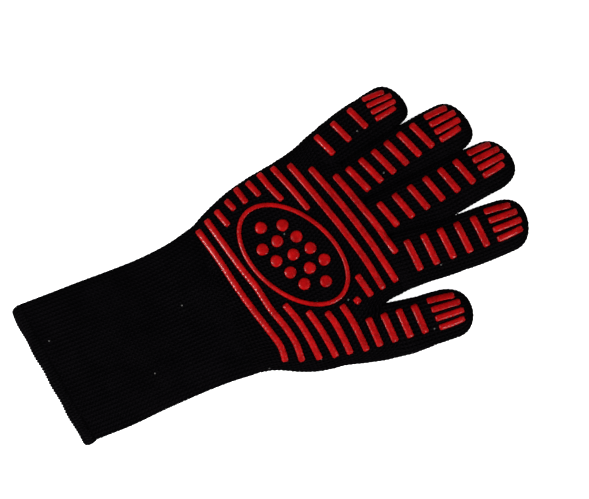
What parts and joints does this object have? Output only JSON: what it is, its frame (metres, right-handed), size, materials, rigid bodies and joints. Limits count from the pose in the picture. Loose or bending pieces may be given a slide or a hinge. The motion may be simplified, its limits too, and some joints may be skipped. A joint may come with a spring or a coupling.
{
  "type": "heat resistant glove",
  "caption": "Long-cuff knitted heat resistant glove for the right hand, palm side up, with raised silicone grip bars, an oval ring on the palm and a soft liner.",
  "frame": {"origin": "on the flat back of the hand, under the middle of the palm, where the glove rests on the table", "axes": "+Y to the fingertips, +X to the thumb, +Z out of the palm"},
  "size_m": [0.1752, 0.3479, 0.022],
  "materials": {
    "knit": "black aramid knit, plain on the hand and ribbed on the cuff, matte",
    "hem_knit": "black overlocked yarn, matte",
    "lining": "undyed soft cotton, matte",
    "silicone": "red silicone, glossy"
  },
  "bodies": {
    "palm": {"grip_dots": "silicone", "index_root_rung_1": "silicone", "little_root_rung_1": "silicone", "middle_root_rung_1": "silicone", "oval_ring": "silicone", "palm_bar_01": "silicone", "palm_bar_02": "silicone", "palm_bar_03": "silicone", "palm_bar_04": "silicone", "palm_bar_05": "silicone", "palm_bar_06": "silicone", "palm_bar_07": "silicone", "palm_bar_08": "silicone", "palm_bar_09": "silicone", "palm_bar_10": "silicone", "palm_bar_11": "silicone", "palm_bar_12": "silicone", "palm_bar_13": "silicone", "palm_bar_14": "silicone", "palm_bar_15": "silicone", "palm_bar_16": "silicone", "palm_bar_17": "silicone", "palm_liner": "lining", "palm_shell": "knit", "ring_root_rung_1": "silicone", "thumb_root_rung_1": "silicone", "thumb_root_rung_2": "silicone"},
    "cuff": {"cuff_hem": "hem_knit", "cuff_liner": "lining", "cuff_shell": "knit"},
    "little_base": {"little_base_grip": "silicone", "little_base_liner": "lining", "little_base_shell": "knit"},
    "little_tip": {"little_tip_grip": "silicone", "little_tip_liner": "lining", "little_tip_shell": "knit"},
    "ring_base": {"ring_base_grip": "silicone", "ring_base_liner": "lining", "ring_base_shell": "knit"},
    "ring_tip": {"ring_tip_grip": "silicone", "ring_tip_liner": "lining", "ring_tip_shell": "knit"},
    "middle_base": {"middle_base_grip": "silicone", "middle_base_liner": "lining", "middle_base_shell": "knit"},
    "middle_tip": {"middle_tip_grip": "silicone", "middle_tip_liner": "lining", "middle_tip_shell": "knit"},
    "index_base": {"index_base_grip": "silicone", "index_base_liner": "lining", "index_base_shell": "knit"},
    "index_tip": {"index_tip_grip": "silicone", "index_tip_liner": "lining", "index_tip_shell": "knit"},
    "thumb_base": {"thumb_base_grip": "silicone", "thumb_base_liner": "lining", "thumb_base_shell": "knit"},
    "thumb_tip": {"thumb_tip_grip": "silicone", "thumb_tip_liner": "lining", "thumb_tip_shell": "knit"}
  },
  "joints": [
    {"name": "wrist_bend", "type": "hinge", "parent": "palm", "child": "cuff", "pos_m": [0, -0.048, 0.016], "axis": [-1, 0, 0], "range_deg": [0, 50]},
    {"name": "little_root_bend", "type": "hinge", "parent": "palm", "child": "little_base", "pos_m": [-0.0595, 0.0644, 0.017], "axis": [1, 0, 0], "range_deg": [0, 55]},
    {"name": "little_middle_bend", "type": "hinge", "parent": "little_base", "child": "little_tip", "pos_m": [-0.06425, 0.0892, 0.017], "axis": [1, 0, 0], "range_deg": [0, 65]},
    {"name": "ring_root_bend", "type": "hinge", "parent": "palm", "child": "ring_base", "pos_m": [-0.03123, 0.073, 0.017], "axis": [1, 0, 0], "range_deg": [0, 55]},
    {"name": "ring_middle_bend", "type": "hinge", "parent": "ring_base", "child": "ring_tip", "pos_m": [-0.03421, 0.1036, 0.017], "axis": [1, 0, 0], "range_deg": [0, 65]},
    {"name": "middle_root_bend", "type": "hinge", "parent": "palm", "child": "middle_base", "pos_m": [-0.00168, 0.0826, 0.017], "axis": [1, 0, 0], "range_deg": [0, 55]},
    {"name": "middle_middle_bend", "type": "hinge", "parent": "middle_base", "child": "middle_tip", "pos_m": [0.00006, 0.1168, 0.017], "axis": [1, 0, 0], "range_deg": [0, 65]},
    {"name": "index_root_bend", "type": "hinge", "parent": "palm", "child": "index_base", "pos_m": [0.03374, 0.087, 0.017], "axis": [1, 0, 0], "range_deg": [0, 55]},
    {"name": "index_middle_bend", "type": "hinge", "parent": "index_base", "child": "index_tip", "pos_m": [0.03642, 0.11, 0.017], "axis": [1, 0, 0], "range_deg": [0, 65]},
    {"name": "thumb_root_bend", "type": "hinge", "parent": "palm", "child": "thumb_base", "pos_m": [0.07294, 0.052, 0.017], "axis": [1, 0, 0], "range_deg": [0, 45]},
    {"name": "thumb_middle_bend", "type": "hinge", "parent": "thumb_base", "child": "thumb_tip", "pos_m": [0.07565, 0.0724, 0.017], "axis": [1, 0, 0], "range_deg": [0, 55]}
  ]
}
